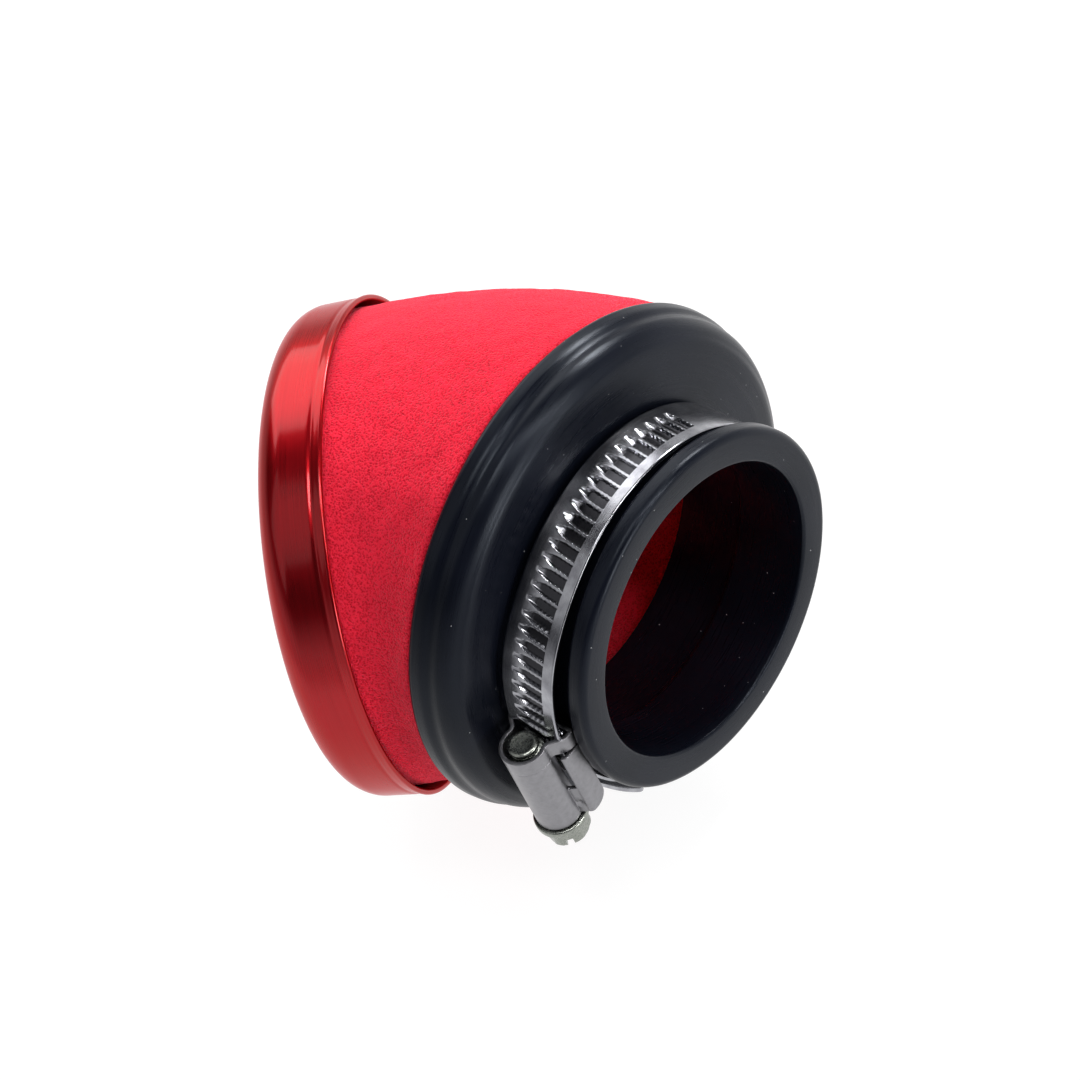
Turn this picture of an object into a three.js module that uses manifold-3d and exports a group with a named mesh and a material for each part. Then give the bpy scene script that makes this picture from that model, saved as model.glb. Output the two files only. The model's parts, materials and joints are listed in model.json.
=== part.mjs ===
// Angled clamp-on air filter: an aluminium end cap, a bent foam tube, a rubber boot with a
// clamping neck, and a loose worm-drive hose clamp round the neck.
//
// Millimetres. X is the axis of the neck and points out of its mouth, the origin is the centre
// of the mouth, the elbow bends towards -Y, and Z is up with the neck held level.

import * as THREE from 'three';
import { mergeVertices } from 'three/addons/utils/BufferGeometryUtils.js';
import Module from 'manifold-3d';

const wasm = await Module();
wasm.setup();

// ---- Driving dimensions ------------------------------------------------------------------

const TOUCH_GAP = 0.3;          // left between two pieces that touch
const ROUND_STEPS = 48;         // facets round the large turned pieces

const BORE_RADIUS = 22;         // takes a spigot 44 across
const NECK_WALL = 5;            // rubber round the bore, at the lip
const LIP_LENGTH = 3.2;         // raised lip in front of the clamp groove
const LIP_ROUND = 1.1;
const MOUTH_CHAMFER = 0.5;
const GROOVE_DEPTH = 2.2;
const GROOVE_ROOM = 2;          // the groove is this much wider than the clamp's band
const GROOVE_FILLET = 0.8;
const BORE_STEP = 0.8;          // the bore opens by this much behind the neck
const BORE_STEP_BACK = 11.5;

const SHOULDER_LENGTH = 9.2;    // from the groove to the joint between rubber and foam
const SEAM_RADIUS = 37.8;
const COLLAR_ROUND = 1.0;
const COLLAR_STEP = 0.9;        // the boot's collar stands this far proud of the foam
const WAIST_DEPTH = 0.85;       // hollow behind the collar's rounded edge
const COLLAR_LENGTH = 2.4;      // from the boot's rear to where the collar starts to fall
const COLLAR_FALL = 1.2;        // length of that fall to the waist
const WAIST_LENGTH = 1.4;
const SHOULDER_WIDTH = 2.9;     // radial fall of the rounded shoulder
const SHOULDER_ROUND = 1.9;     // length of its rounding
const SHOULDER_EDGE = 0.5;      // the rounding meets the groove's rear face over this length
const FACE_SLOPE = 0.3;         // the groove's rear face leans back by this much
const SPLINE_EASE = 0.15;       // keeps the collar's fall free of a sharp corner

const ELBOW_ANGLE = THREE.MathUtils.degToRad(33.5);
const FOAM_LENGTH = 24.7;       // centre of the cap's rim, behind the joint
const RIM_OFFSET = 10.34;       // and beside the neck's axis

const CAP_RADIUS = 36;
const CAP_DEPTH = 10.8;
const CAP_SHEET = 0.8;
const CAP_CORNER = 4.6;
const CAP_TAPER = 0.35;         // the wall draws in by this much towards the corner
const LIP_FLARE = 0.3;          // rolled edge of the cap
const LIP_FLARE_DEPTH = 1.0;

const FOAM_WALL = 9;
const FOAM_CLEARANCE = 0.35;    // between the foam and the cap's wall
const FOAM_END_ROUND = 1.4;     // the foam draws in to follow the cap's corner
const BEND_STATIONS = 10;
const BOND_THICKNESS = 0.8;
const BOND_INSET = 1.2;         // adhesive stops this far short of the foam's edges

const BAND_WIDTH = 9;
const BAND_THICKNESS = 0.65;
const BAND_CLEARANCE = 1.4;     // the loose loop stands this far off the groove
const BAND_INSET = 1.03;        // between the lip and the band's front edge
const BAND_LAP_GAP = 0.35;      // between the two layers where the tail passes over
const BAND_ANCHOR_ANGLE = -10;  // degrees round the clamp, from the worm towards the screw head
const BAND_TAIL_ANGLE = 410;
const LAP_RAMP_START = 300;     // where the band starts to climb over its anchored end
const LAP_RAMP_END = 336;
const TAIL_LIFT_START = 387;    // past the housing the tail springs away from the lap
const TAIL_LIFT = 1.6;
const CLAMP_SLACK = 0.9;        // how far the loose clamp hangs towards its housing

const THREAD_PITCH = 2.16;
const WORM_RADIUS = 2.75;
const THREAD_DEPTH = 0.75;
const THREAD_ENGAGEMENT = 0.3;
const THREAD_CLEARANCE = 0.1;
const THREAD_CREST_END = 0.12;  // shares of the pitch from the crest's middle to its edge
const THREAD_ROOT_START = 0.28; // and to the root
const THREAD_PHASE = 0.25;      // pockets lead the worm's crests by this share of the pitch
const WORM_BORE_CLEARANCE = 0.15;
const WORM_BACK = 3.2;          // the worm runs from here behind the band's high point
const WORM_FRONT = 7.6;         // to here in front of it
const SPIGOT_RADIUS = 2.2;
const SPIGOT_LENGTH = 0.8;
const SHANK_RADIUS = 2.6;
const FLANGE_RADIUS = 4;
const FLANGE_THICKNESS = 1.3;
const HEX_ACROSS_FLATS = 6.2;
const HEX_HEIGHT = 3.4;
const SLOT_WIDTH = 1.1;
const SLOT_DEPTH = 1.5;
const ROD_OVERLAP = 0.2;        // rods of one turned piece run into each other by this much

const POCKET_WIDTH = 1.15;
const POCKET_SPAN = 5.2;        // across the band
const POCKET_COUNT = 34;
const POCKET_END_ANGLE = 24;    // plain strip left at the end of the tail, degrees

const HOUSING_SHEET = 0.6;
const HOUSING_SIDE_CLEARANCE = 0.15;
const BARREL_BACK = 3.7;
const BARREL_FRONT = 13.6;
const SADDLE_BACK_ANGLE = -8;
const SADDLE_FRONT_ANGLE = 21;
const CAVITY_BACK_ANGLE = -28;  // the space kept for the band reaches past both ends
const CAVITY_FRONT_ANGLE = 51;
const WINDOW_LENGTH = 7.2;
const WINDOW_WIDTH = 1;
const CUT_OVERRUN = 1;          // cutting shapes run past the solid they cut
const SHEET_OVERLAP = 0.01;     // keeps joined faces from lying in one plane

// ---- Sizes that follow from them ---------------------------------------------------------

const neckRadius = BORE_RADIUS + NECK_WALL;
const grooveRadius = neckRadius - GROOVE_DEPTH;
const grooveBack = LIP_LENGTH + BAND_WIDTH + GROOVE_ROOM;
const rearBoreRadius = BORE_RADIUS + BORE_STEP;
const seamBack = grooveBack + SHOULDER_LENGTH;
const rimBack = seamBack + FOAM_LENGTH;
const halfBond = BOND_THICKNESS / 2;
const bootBack = seamBack - halfBond - TOUCH_GAP;
const foamFront = seamBack + halfBond + TOUCH_GAP;
const capInnerDepth = CAP_DEPTH - CAP_SHEET;
const foamInsert = capInnerDepth - BOND_THICKNESS - 2 * TOUCH_GAP;
const capInnerRadius = CAP_RADIUS - CAP_TAPER - CAP_SHEET;
const foamRadius = capInnerRadius - FOAM_CLEARANCE;
const foamInnerRadius = foamRadius - FOAM_WALL;
const foamSeamRadius = SEAM_RADIUS - COLLAR_STEP;

const bandInnerRadius = grooveRadius + BAND_CLEARANCE;
const bandFront = LIP_LENGTH + BAND_INSET;
const tailInnerRadius = bandInnerRadius + BAND_THICKNESS + BAND_LAP_GAP;
const tailOuterRadius = tailInnerRadius + BAND_THICKNESS;
const pocketFloorRadius = tailOuterRadius - THREAD_ENGAGEMENT - THREAD_CLEARANCE;
const screwHeight = tailOuterRadius - THREAD_ENGAGEMENT + WORM_RADIUS;
const pocketPitchAngle = THREAD_PITCH / (tailOuterRadius - THREAD_ENGAGEMENT / 2);
const helixSlope = THREAD_PITCH / (2 * Math.PI * (WORM_RADIUS - THREAD_ENGAGEMENT / 2));

const flangeStart = BARREL_FRONT + TOUCH_GAP;
const hexStart = flangeStart + FLANGE_THICKNESS;
const screwEnd = hexStart + HEX_HEIGHT;

// ---- Helpers -----------------------------------------------------------------------------

function material(color, roughness, metalness) {
  return new THREE.MeshStandardMaterial({ color, roughness, metalness });
}

function toSolid(geometry) {
  const bare = geometry.clone();
  bare.deleteAttribute('normal');
  bare.deleteAttribute('uv');
  const merged = mergeVertices(bare, 1e-5);
  const vertProperties = new Float32Array(merged.attributes.position.array);
  const triVerts = new Uint32Array(merged.index.array);
  return new wasm.Manifold(new wasm.Mesh({ numProp: 3, vertProperties, triVerts }));
}

function toGeometry(solid) {
  const mesh = solid.getMesh();
  const geometry = new THREE.BufferGeometry();
  geometry.setAttribute('position', new THREE.BufferAttribute(mesh.vertProperties, 3));
  geometry.setIndex(new THREE.BufferAttribute(mesh.triVerts, 1));
  geometry.computeVertexNormals();
  return geometry;
}

// Turns a closed outline of (radius, distance along the axis) about Y.
function turned(outline, steps = ROUND_STEPS) {
  return new THREE.LatheGeometry(outline, steps);
}

// Lays a shape drawn in (Y, Z) across the X axis, `width` wide and centred on it.
function acrossX(shape, width, curveSegments) {
  const geometry = new THREE.ExtrudeGeometry(shape, { depth: width, bevelEnabled: false, curveSegments });
  geometry.translate(0, 0, -width / 2);
  const cycle = new THREE.Matrix4().makeBasis(
    new THREE.Vector3(0, 1, 0),
    new THREE.Vector3(0, 0, 1),
    new THREE.Vector3(1, 0, 0),
  );
  return geometry.applyMatrix4(cycle);
}

// A sector of a ring, between two radii and two angles in degrees.
function sector(innerRadius, outerRadius, startDegrees, endDegrees) {
  const start = THREE.MathUtils.degToRad(startDegrees);
  const end = THREE.MathUtils.degToRad(endDegrees);
  const shape = new THREE.Shape();
  shape.absarc(0, 0, outerRadius, start, end, false);
  shape.absarc(0, 0, innerRadius, end, start, true);
  return shape;
}

function named(name, geometry, finish) {
  const mesh = new THREE.Mesh(geometry, finish);
  mesh.name = name;
  return mesh;
}

// ---- Rubber boot -------------------------------------------------------------------------

function bootOutline() {
  const waistRadius = SEAM_RADIUS - WAIST_DEPTH;
  const faceBack = grooveBack + FACE_SLOPE;
  const fallStart = -bootBack + COLLAR_LENGTH;
  const waistStart = fallStart + COLLAR_FALL;
  const shoulder = [
    new THREE.Vector2(SEAM_RADIUS - SPLINE_EASE, fallStart),
    new THREE.Vector2(waistRadius + SPLINE_EASE, waistStart),
    new THREE.Vector2(waistRadius, waistStart + WAIST_LENGTH),
    new THREE.Vector2(waistRadius - SHOULDER_WIDTH / 4, -faceBack - SHOULDER_ROUND),
    new THREE.Vector2(waistRadius - SHOULDER_WIDTH, -faceBack - SHOULDER_EDGE),
    new THREE.Vector2(waistRadius - 2 * SHOULDER_WIDTH, -faceBack),
  ];
  const path = new THREE.Path();
  path.moveTo(rearBoreRadius, -bootBack);
  path.lineTo(SEAM_RADIUS - COLLAR_ROUND, -bootBack);
  path.absarc(SEAM_RADIUS - COLLAR_ROUND, -bootBack + COLLAR_ROUND, COLLAR_ROUND, -Math.PI / 2, 0, false);
  path.splineThru(shoulder);
  path.lineTo(grooveRadius + GROOVE_FILLET, -grooveBack);
  path.absarc(grooveRadius + GROOVE_FILLET, -grooveBack + GROOVE_FILLET, GROOVE_FILLET,
    1.5 * Math.PI, Math.PI, true);
  path.lineTo(grooveRadius, -LIP_LENGTH - GROOVE_FILLET);
  path.quadraticCurveTo(grooveRadius, -LIP_LENGTH, grooveRadius + GROOVE_FILLET, -LIP_LENGTH);
  path.lineTo(neckRadius - LIP_ROUND, -LIP_LENGTH);
  path.absarc(neckRadius - LIP_ROUND, -LIP_LENGTH + LIP_ROUND, LIP_ROUND, -Math.PI / 2, 0, false);
  path.absarc(neckRadius - LIP_ROUND, -LIP_ROUND, LIP_ROUND, 0, Math.PI / 2, false);
  path.lineTo(BORE_RADIUS + MOUTH_CHAMFER, 0);
  path.lineTo(BORE_RADIUS, -MOUTH_CHAMFER);
  path.lineTo(BORE_RADIUS, -BORE_STEP_BACK);
  path.lineTo(rearBoreRadius, -BORE_STEP_BACK - BORE_STEP);
  path.closePath();
  return path.getPoints(3);
}

function rubberBoot() {
  return turned(bootOutline()).rotateZ(-Math.PI / 2);
}

// ---- End cap -----------------------------------------------------------------------------

// The cap's own frame: centre of the rim at the origin, Y into the cap.
function capWallRadius(depth) {
  const flare = LIP_FLARE * Math.max(0, 1 - depth / LIP_FLARE_DEPTH);
  return CAP_RADIUS + flare - CAP_TAPER * Math.min(1, depth / (CAP_DEPTH - CAP_CORNER));
}

function endCap() {
  const cornerCentre = CAP_DEPTH - CAP_CORNER;
  const cornerRadius = capWallRadius(cornerCentre);
  const path = new THREE.Path();
  path.moveTo(0, capInnerDepth);
  path.lineTo(cornerRadius - CAP_CORNER, capInnerDepth);
  path.absarc(cornerRadius - CAP_CORNER, cornerCentre, CAP_CORNER - CAP_SHEET, Math.PI / 2, 0, true);
  path.lineTo(capWallRadius(LIP_FLARE_DEPTH) - CAP_SHEET, LIP_FLARE_DEPTH);
  path.lineTo(capWallRadius(0) - CAP_SHEET, 0);
  path.lineTo(capWallRadius(0), 0);
  path.lineTo(capWallRadius(LIP_FLARE_DEPTH), LIP_FLARE_DEPTH);
  path.lineTo(cornerRadius, cornerCentre);
  path.absarc(cornerRadius - CAP_CORNER, cornerCentre, CAP_CORNER, 0, Math.PI / 2, false);
  path.lineTo(0, CAP_DEPTH);
  return turned(path.getPoints(5));
}

function capBond() {
  const bottom = foamInsert + TOUCH_GAP;
  const top = bottom + BOND_THICKNESS;
  const inner = foamInnerRadius + BOND_INSET;
  const outer = CAP_RADIUS - CAP_TAPER - CAP_CORNER;
  const outline = [[inner, bottom], [outer, bottom], [outer, top], [inner, top], [inner, bottom]];
  return turned(outline.map(([radius, depth]) => new THREE.Vector2(radius, depth)));
}

// ---- Foam element ------------------------------------------------------------------------

// The foam bends about a pivot line parallel to Z, where the plane of the seam meets the plane
// of the cap's rim. Every cross-section is a circle in a plane through that line, so the short
// side of the bend never folds. `share` runs from 0 at the seam to 1 at the rim.
const pivot = new THREE.Vector3(
  -foamFront,
  -RIM_OFFSET - (rimBack - foamFront) / Math.tan(ELBOW_ANGLE),
  0,
);
const seamReach = -pivot.y;
const rimReach = (rimBack - foamFront) / Math.sin(ELBOW_ANGLE);

function foamSection(share, insert) {
  const angle = ELBOW_ANGLE * share;
  const reach = THREE.MathUtils.lerp(seamReach, rimReach, share);
  const outward = new THREE.Vector3(-Math.sin(angle), Math.cos(angle), 0);
  const along = new THREE.Vector3(-Math.cos(angle), -Math.sin(angle), 0);
  const centre = pivot.clone().addScaledVector(outward, reach).addScaledVector(along, insert);
  return { centre, outward };
}

// Stations along the tube: the bend first, then the straight length inside the cap.
function foamStations() {
  const stations = [];
  for (let k = 0; k <= BEND_STATIONS; k += 1) {
    const share = k / BEND_STATIONS;
    const flare = (foamSeamRadius - foamRadius) * (1 - share) ** 1.5;
    stations.push({ ...foamSection(share, 0), radius: foamRadius + flare });
  }
  const cornerStart = CAP_DEPTH - CAP_CORNER - TOUCH_GAP;
  stations.push({ ...foamSection(1, cornerStart), radius: foamRadius });
  stations.push({ ...foamSection(1, foamInsert), radius: foamRadius - FOAM_END_ROUND });
  return stations;
}

function foamElement() {
  const stations = foamStations();
  const outer = stations.map((station, k) => new THREE.Vector2(station.radius, k));
  const inner = stations.map((station, k) => new THREE.Vector2(foamInnerRadius, k)).reverse();
  const tube = turned([...outer, ...inner, outer[0]]);
  const position = tube.attributes.position;
  const up = new THREE.Vector3(0, 0, 1);
  for (let i = 0; i < position.count; i += 1) {
    const { centre, outward } = stations[Math.round(position.getY(i))];
    const point = centre.clone().addScaledVector(outward, position.getX(i));
    point.addScaledVector(up, position.getZ(i));
    position.setXYZ(i, point.x, point.y, point.z);
  }
  return tube;
}

function bootBond() {
  const inner = foamInnerRadius + BOND_INSET;
  const outer = Math.min(foamRadius, foamSeamRadius) - BOND_INSET;
  const outline = [[inner, -halfBond], [outer, -halfBond], [outer, halfBond], [inner, halfBond],
    [inner, -halfBond]];
  const ring = turned(outline.map(([radius, depth]) => new THREE.Vector2(radius, depth)));
  return ring.rotateZ(-Math.PI / 2);
}

// ---- Hose clamp --------------------------------------------------------------------------
// The clamp's own frame: X along the neck, Y outwards through the worm, Z along the screw
// towards its head. Angles round the clamp run from Y towards Z.

function bandRadius(degrees) {
  const ramp = THREE.MathUtils.smoothstep(degrees, LAP_RAMP_START, LAP_RAMP_END);
  const tail = Math.max(0, (degrees - TAIL_LIFT_START) / (BAND_TAIL_ANGLE - TAIL_LIFT_START));
  return bandInnerRadius + ramp * (tailInnerRadius - bandInnerRadius) + TAIL_LIFT * tail ** 1.5;
}

function bandStrip() {
  const steps = 70;
  const points = [];
  const at = (degrees, extra) => {
    const angle = THREE.MathUtils.degToRad(degrees);
    const radius = bandRadius(degrees) + extra;
    return new THREE.Vector2(radius * Math.cos(angle), radius * Math.sin(angle));
  };
  const degreesAt = (k) => THREE.MathUtils.lerp(BAND_ANCHOR_ANGLE, BAND_TAIL_ANGLE, k / steps);
  for (let k = 0; k <= steps; k += 1) points.push(at(degreesAt(k), BAND_THICKNESS));
  for (let k = steps; k >= 0; k -= 1) points.push(at(degreesAt(k), 0));
  return acrossX(new THREE.Shape(points), BAND_WIDTH, 1);
}

// Thread pockets are pressed into the outside of the tail, slanted as the worm's thread is.
function clampBand() {
  let band = toSolid(bandStrip());
  const lastPocket = THREE.MathUtils.degToRad(BAND_TAIL_ANGLE - 360 - POCKET_END_ANGLE);
  const firstIndex = Math.floor(lastPocket / pocketPitchAngle);
  const pocketDepth = BAND_THICKNESS;
  for (let k = 0; k < POCKET_COUNT; k += 1) {
    const angle = (firstIndex - k - THREAD_PHASE) * pocketPitchAngle;
    const degrees = 360 + THREE.MathUtils.radToDeg(angle);
    const rise = bandRadius(degrees) - tailInnerRadius;
    const pocket = new THREE.BoxGeometry(POCKET_SPAN, pocketDepth, POCKET_WIDTH);
    pocket.rotateY(-Math.atan(helixSlope));
    pocket.translate(0, pocketFloorRadius + rise + pocketDepth / 2, 0);
    pocket.rotateX(angle);
    band = band.subtract(toSolid(pocket));
  }
  return toGeometry(band);
}

function rod(radius, start, end, steps) {
  const geometry = new THREE.CylinderGeometry(radius, radius, end - start, steps);
  geometry.rotateX(Math.PI / 2);
  return geometry.translate(0, screwHeight, (start + end) / 2);
}

// The folded sheet: a barrel round the worm on a channel that straddles the band, closed below
// by a curved bridge. The band's cavity and the worm's bore are cut through all of them.
function clampHousing() {
  const cavityTop = tailOuterRadius + TOUCH_GAP;
  const cavityBottom = bandInnerRadius - TOUCH_GAP;
  const cavityWidth = BAND_WIDTH + 2 * HOUSING_SIDE_CLEARANCE;
  const width = cavityWidth + 2 * HOUSING_SHEET;
  const boreRadius = WORM_RADIUS + WORM_BORE_CLEARANCE;
  const bottom = cavityBottom - HOUSING_SHEET;
  const top = cavityTop + HOUSING_SHEET;
  const length = BARREL_FRONT + BARREL_BACK;
  const middle = (BARREL_FRONT - BARREL_BACK) / 2;

  const channel = new THREE.BoxGeometry(width, top - bottom, length);
  channel.translate(0, (top + bottom) / 2, middle);
  const trough = new THREE.BoxGeometry(cavityWidth, cavityTop - bottom, length + 2 * CUT_OVERRUN);
  trough.translate(0, (cavityTop + bottom) / 2 - SHEET_OVERLAP, middle);
  const bridge = acrossX(
    sector(bottom, cavityBottom, SADDLE_BACK_ANGLE, SADDLE_FRONT_ANGLE), width - 2 * SHEET_OVERLAP, 10);
  const cavity = acrossX(
    sector(cavityBottom, cavityTop, CAVITY_BACK_ANGLE, CAVITY_FRONT_ANGLE), cavityWidth, 24);
  const window = new THREE.BoxGeometry(WINDOW_WIDTH, 2 * HOUSING_SHEET, WINDOW_LENGTH);
  window.translate((cavityWidth - WINDOW_WIDTH) / 2, cavityTop + HOUSING_SHEET, WINDOW_LENGTH / 2);
  return toGeometry(
    toSolid(channel)
      .subtract(toSolid(trough))
      .add(toSolid(bridge))
      .add(toSolid(rod(boreRadius + HOUSING_SHEET, -BARREL_BACK, BARREL_FRONT, 32)))
      .subtract(toSolid(cavity))
      .subtract(toSolid(rod(boreRadius, -BARREL_BACK - CUT_OVERRUN, BARREL_FRONT + CUT_OVERRUN, 32)))
      .subtract(toSolid(window)));
}

// A right-hand thread: a finely divided cylinder whose surface moves in and out as it turns.
function wormThread() {
  const length = WORM_FRONT + WORM_BACK;
  const ringsPerTurn = 8;
  const rings = Math.round(length / THREAD_PITCH * ringsPerTurn);
  const worm = new THREE.CylinderGeometry(1, 1, length, 24, rings);
  worm.rotateX(Math.PI / 2).translate(0, 0, (WORM_FRONT - WORM_BACK) / 2);
  const position = worm.attributes.position;
  for (let i = 0; i < position.count; i += 1) {
    const turn = Math.atan2(position.getY(i), position.getX(i)) / (2 * Math.PI);
    const phase = position.getZ(i) / THREAD_PITCH - turn;
    const fromCrest = Math.abs(phase - Math.round(phase));
    const height = THREE.MathUtils.clamp(
      (THREAD_ROOT_START - fromCrest) / (THREAD_ROOT_START - THREAD_CREST_END), 0, 1);
    const radius = Math.hypot(position.getX(i), position.getY(i))
      * (WORM_RADIUS - THREAD_DEPTH * (1 - height));
    position.setXYZ(i, radius * Math.cos(turn * 2 * Math.PI), radius * Math.sin(turn * 2 * Math.PI),
      position.getZ(i));
  }
  return worm.translate(0, screwHeight, 0);
}

function wormScrew() {
  const hexRadius = HEX_ACROSS_FLATS / Math.sqrt(3);
  const slot = new THREE.BoxGeometry(2 * FLANGE_RADIUS, SLOT_WIDTH, SLOT_DEPTH);
  slot.translate(0, screwHeight, screwEnd - SLOT_DEPTH / 2 + SHEET_OVERLAP);
  return toGeometry(
    toSolid(wormThread())
      .add(toSolid(rod(SPIGOT_RADIUS, -WORM_BACK - SPIGOT_LENGTH, -WORM_BACK + ROD_OVERLAP, 24)))
      .add(toSolid(rod(SHANK_RADIUS, WORM_FRONT - ROD_OVERLAP, flangeStart + ROD_OVERLAP, 24)))
      .add(toSolid(rod(FLANGE_RADIUS, flangeStart, hexStart, 32)))
      .add(toSolid(rod(hexRadius, hexStart - ROD_OVERLAP, screwEnd, 6)))
      .subtract(toSolid(slot)));
}

// ---- Assembly ----------------------------------------------------------------------------

const redAluminium = material(0xa01218, 0.3, 0.9);
const redFoam = material(0xd21f3c, 0.95, 0);
const blackRubber = material(0x202226, 0.5, 0);
const amberAdhesive = material(0xb59a5a, 0.6, 0);
const stainless = material(0xb9bcc0, 0.25, 1);
const zincPlate = material(0xa7a9a4, 0.35, 1);

const filter = new THREE.Group();
filter.add(named('rubber_boot', rubberBoot(), blackRubber));
filter.add(named('foam_element', foamElement(), redFoam));

const bootJoint = named('boot_bond', bootBond(), amberAdhesive);
bootJoint.position.x = -seamBack;
filter.add(bootJoint);

const cap = new THREE.Group();
cap.position.set(-rimBack, -RIM_OFFSET, 0);
cap.rotation.z = Math.PI / 2 + ELBOW_ANGLE;
cap.add(named('end_cap', endCap(), redAluminium));
cap.add(named('cap_bond', capBond(), amberAdhesive));
filter.add(cap);

const clamp = new THREE.Group();
clamp.position.set(-bandFront - BAND_WIDTH / 2, -CLAMP_SLACK, 0);
clamp.rotation.x = Math.PI;
clamp.add(named('clamp_band', clampBand(), stainless));
clamp.add(named('clamp_housing', clampHousing(), stainless));
clamp.add(named('worm_screw', wormScrew(), zincPlate));
filter.add(clamp);

export default filter;
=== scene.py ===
# %% [markdown]
# An angled clamp-on air filter for a motorcycle carburettor. Air comes in through a bent sleeve of
# red foam, between a red anodised end cap and a black rubber boot, and a hose clamp round the
# boot's neck holds it on the carburettor. The working model already holds every piece at its real
# size, so this lesson builds a finer surface for each piece in the same place. The frame comes first.

# %% Load the frame
import json
import math

import bmesh
import bpy
import numpy as np
from mathutils import Matrix, Vector, noise


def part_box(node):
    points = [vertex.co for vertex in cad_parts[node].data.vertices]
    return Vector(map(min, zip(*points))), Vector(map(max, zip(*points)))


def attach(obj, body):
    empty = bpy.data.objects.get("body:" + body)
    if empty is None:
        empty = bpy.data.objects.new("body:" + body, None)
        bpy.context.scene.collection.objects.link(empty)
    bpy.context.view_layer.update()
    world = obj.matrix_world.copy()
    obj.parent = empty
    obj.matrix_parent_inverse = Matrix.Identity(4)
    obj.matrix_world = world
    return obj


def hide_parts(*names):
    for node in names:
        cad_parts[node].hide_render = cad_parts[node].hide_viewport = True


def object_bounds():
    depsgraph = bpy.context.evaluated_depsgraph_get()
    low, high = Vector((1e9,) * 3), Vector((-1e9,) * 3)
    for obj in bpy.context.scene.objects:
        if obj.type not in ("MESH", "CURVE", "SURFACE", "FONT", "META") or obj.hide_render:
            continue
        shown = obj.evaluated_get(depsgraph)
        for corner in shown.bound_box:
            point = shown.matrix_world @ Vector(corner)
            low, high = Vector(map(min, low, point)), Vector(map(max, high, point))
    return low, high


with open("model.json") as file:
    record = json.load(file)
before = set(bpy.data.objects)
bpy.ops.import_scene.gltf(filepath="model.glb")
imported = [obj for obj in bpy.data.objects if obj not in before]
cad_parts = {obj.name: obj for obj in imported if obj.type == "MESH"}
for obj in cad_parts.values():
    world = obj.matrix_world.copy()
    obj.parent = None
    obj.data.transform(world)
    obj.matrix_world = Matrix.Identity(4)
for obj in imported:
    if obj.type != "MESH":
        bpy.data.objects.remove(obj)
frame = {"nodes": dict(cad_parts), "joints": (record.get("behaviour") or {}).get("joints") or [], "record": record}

cad_low, cad_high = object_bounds()
print("working model from", tuple(cad_low), "to", tuple(cad_high))

# %% [markdown]
# Small parts are easier to think about in millimetres, while the scene is in metres. One constant
# turns one into the other when a mesh is made. The places of the neck, the clamp and the cap are
# read from the frame's joints and mounts, so a change in the working model moves the looks too.

# %% Places and main sizes, in millimetres
MM = 0.001
joints = {joint["name"]: joint for joint in frame["joints"]}
mounts = {mount["name"]: mount for mount in frame["record"]["mounts"]}


def box_mm(node):
    """The lowest and highest corner of a CAD node, in millimetres."""
    low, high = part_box(node)
    return np.array(low) / MM, np.array(high) / MM


boot_low, boot_high = box_mm("rubber_boot")
collar_radius = boot_high[1]
boot_back = -boot_low[0]

cap_face = np.array(mounts["cap_face"]["pos_m"]) / MM
cap_axis = np.array(mounts["cap_face"]["axis"])
elbow_angle = math.atan2(-cap_axis[1], -cap_axis[0])

clamp_centre = np.array(joints["band_feed"]["pos_m"]) / MM
screw_centre = np.array(joints["screw_spin"]["pos_m"]) / MM
screw_height = clamp_centre[1] - screw_centre[1]
band_width = box_mm("clamp_band")[1][0] - box_mm("clamp_band")[0][0]

print(f"collar radius {collar_radius:.2f}, boot {boot_back:.2f} deep")
print(f"elbow {math.degrees(elbow_angle):.1f} degrees")
print(f"clamp band {band_width:.2f} wide, screw {screw_height:.2f} from the clamp's centre")

# %% [markdown]
# The camera looks down into the neck's mouth from the front and above, with a long lens from
# most of a metre away, as product pictures are taken. A camera is aimed by three directions: what
# is right of it, above it and behind it, which are the columns of its matrix.

# %% Camera
CAMERA_PLACE = Vector((0.39257, -0.25045, 0.60872))
CAMERA_RIGHT = Vector((0.76318, 0.57562, -0.29363))
CAMERA_UP = Vector((-0.35451, 0.75288, 0.55452))
SENSOR_WIDTH = 36.0
LENS = 183.1

camera_back = CAMERA_RIGHT.cross(CAMERA_UP)
camera_data = bpy.data.cameras.new("product_camera")
camera_data.sensor_width = SENSOR_WIDTH
camera_data.lens = LENS
camera_data.clip_end = 50
camera = bpy.data.objects.new("product_camera", camera_data)
aim = Matrix((CAMERA_RIGHT, CAMERA_UP, camera_back)).transposed().to_4x4()
camera.matrix_world = Matrix.Translation(CAMERA_PLACE) @ aim
bpy.context.scene.collection.objects.link(camera)
bpy.context.scene.camera = camera
print("camera stands", round(CAMERA_PLACE.length, 3), "m from the neck's mouth")

# %% [markdown]
# Catalogue pictures are taken on a light table: a board that glows white by itself, so that
# shadows on it stay faint. The glow weakens away from the middle. The filter lies on its side,
# and the board touches the lowest point of the boot. The air above is dark, because black rubber
# only looks black where it has something dark to mirror, and it turns pale towards the horizon.

# %% Floor and world
FLOOR_HALF = 4.0
FLOOR_COLOUR = (0.12, 0.12, 0.12)
FLOOR_GLOW = 0.92
FAR_GLOW = 0.62
GLOW_FADE = (0.26, 0.5)
HORIZON_COLOUR = (0.66, 0.66, 0.67)
CEILING_COLOUR = (0.04, 0.042, 0.05)
HORIZON_FADE = (0.12, 0.4)

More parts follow.
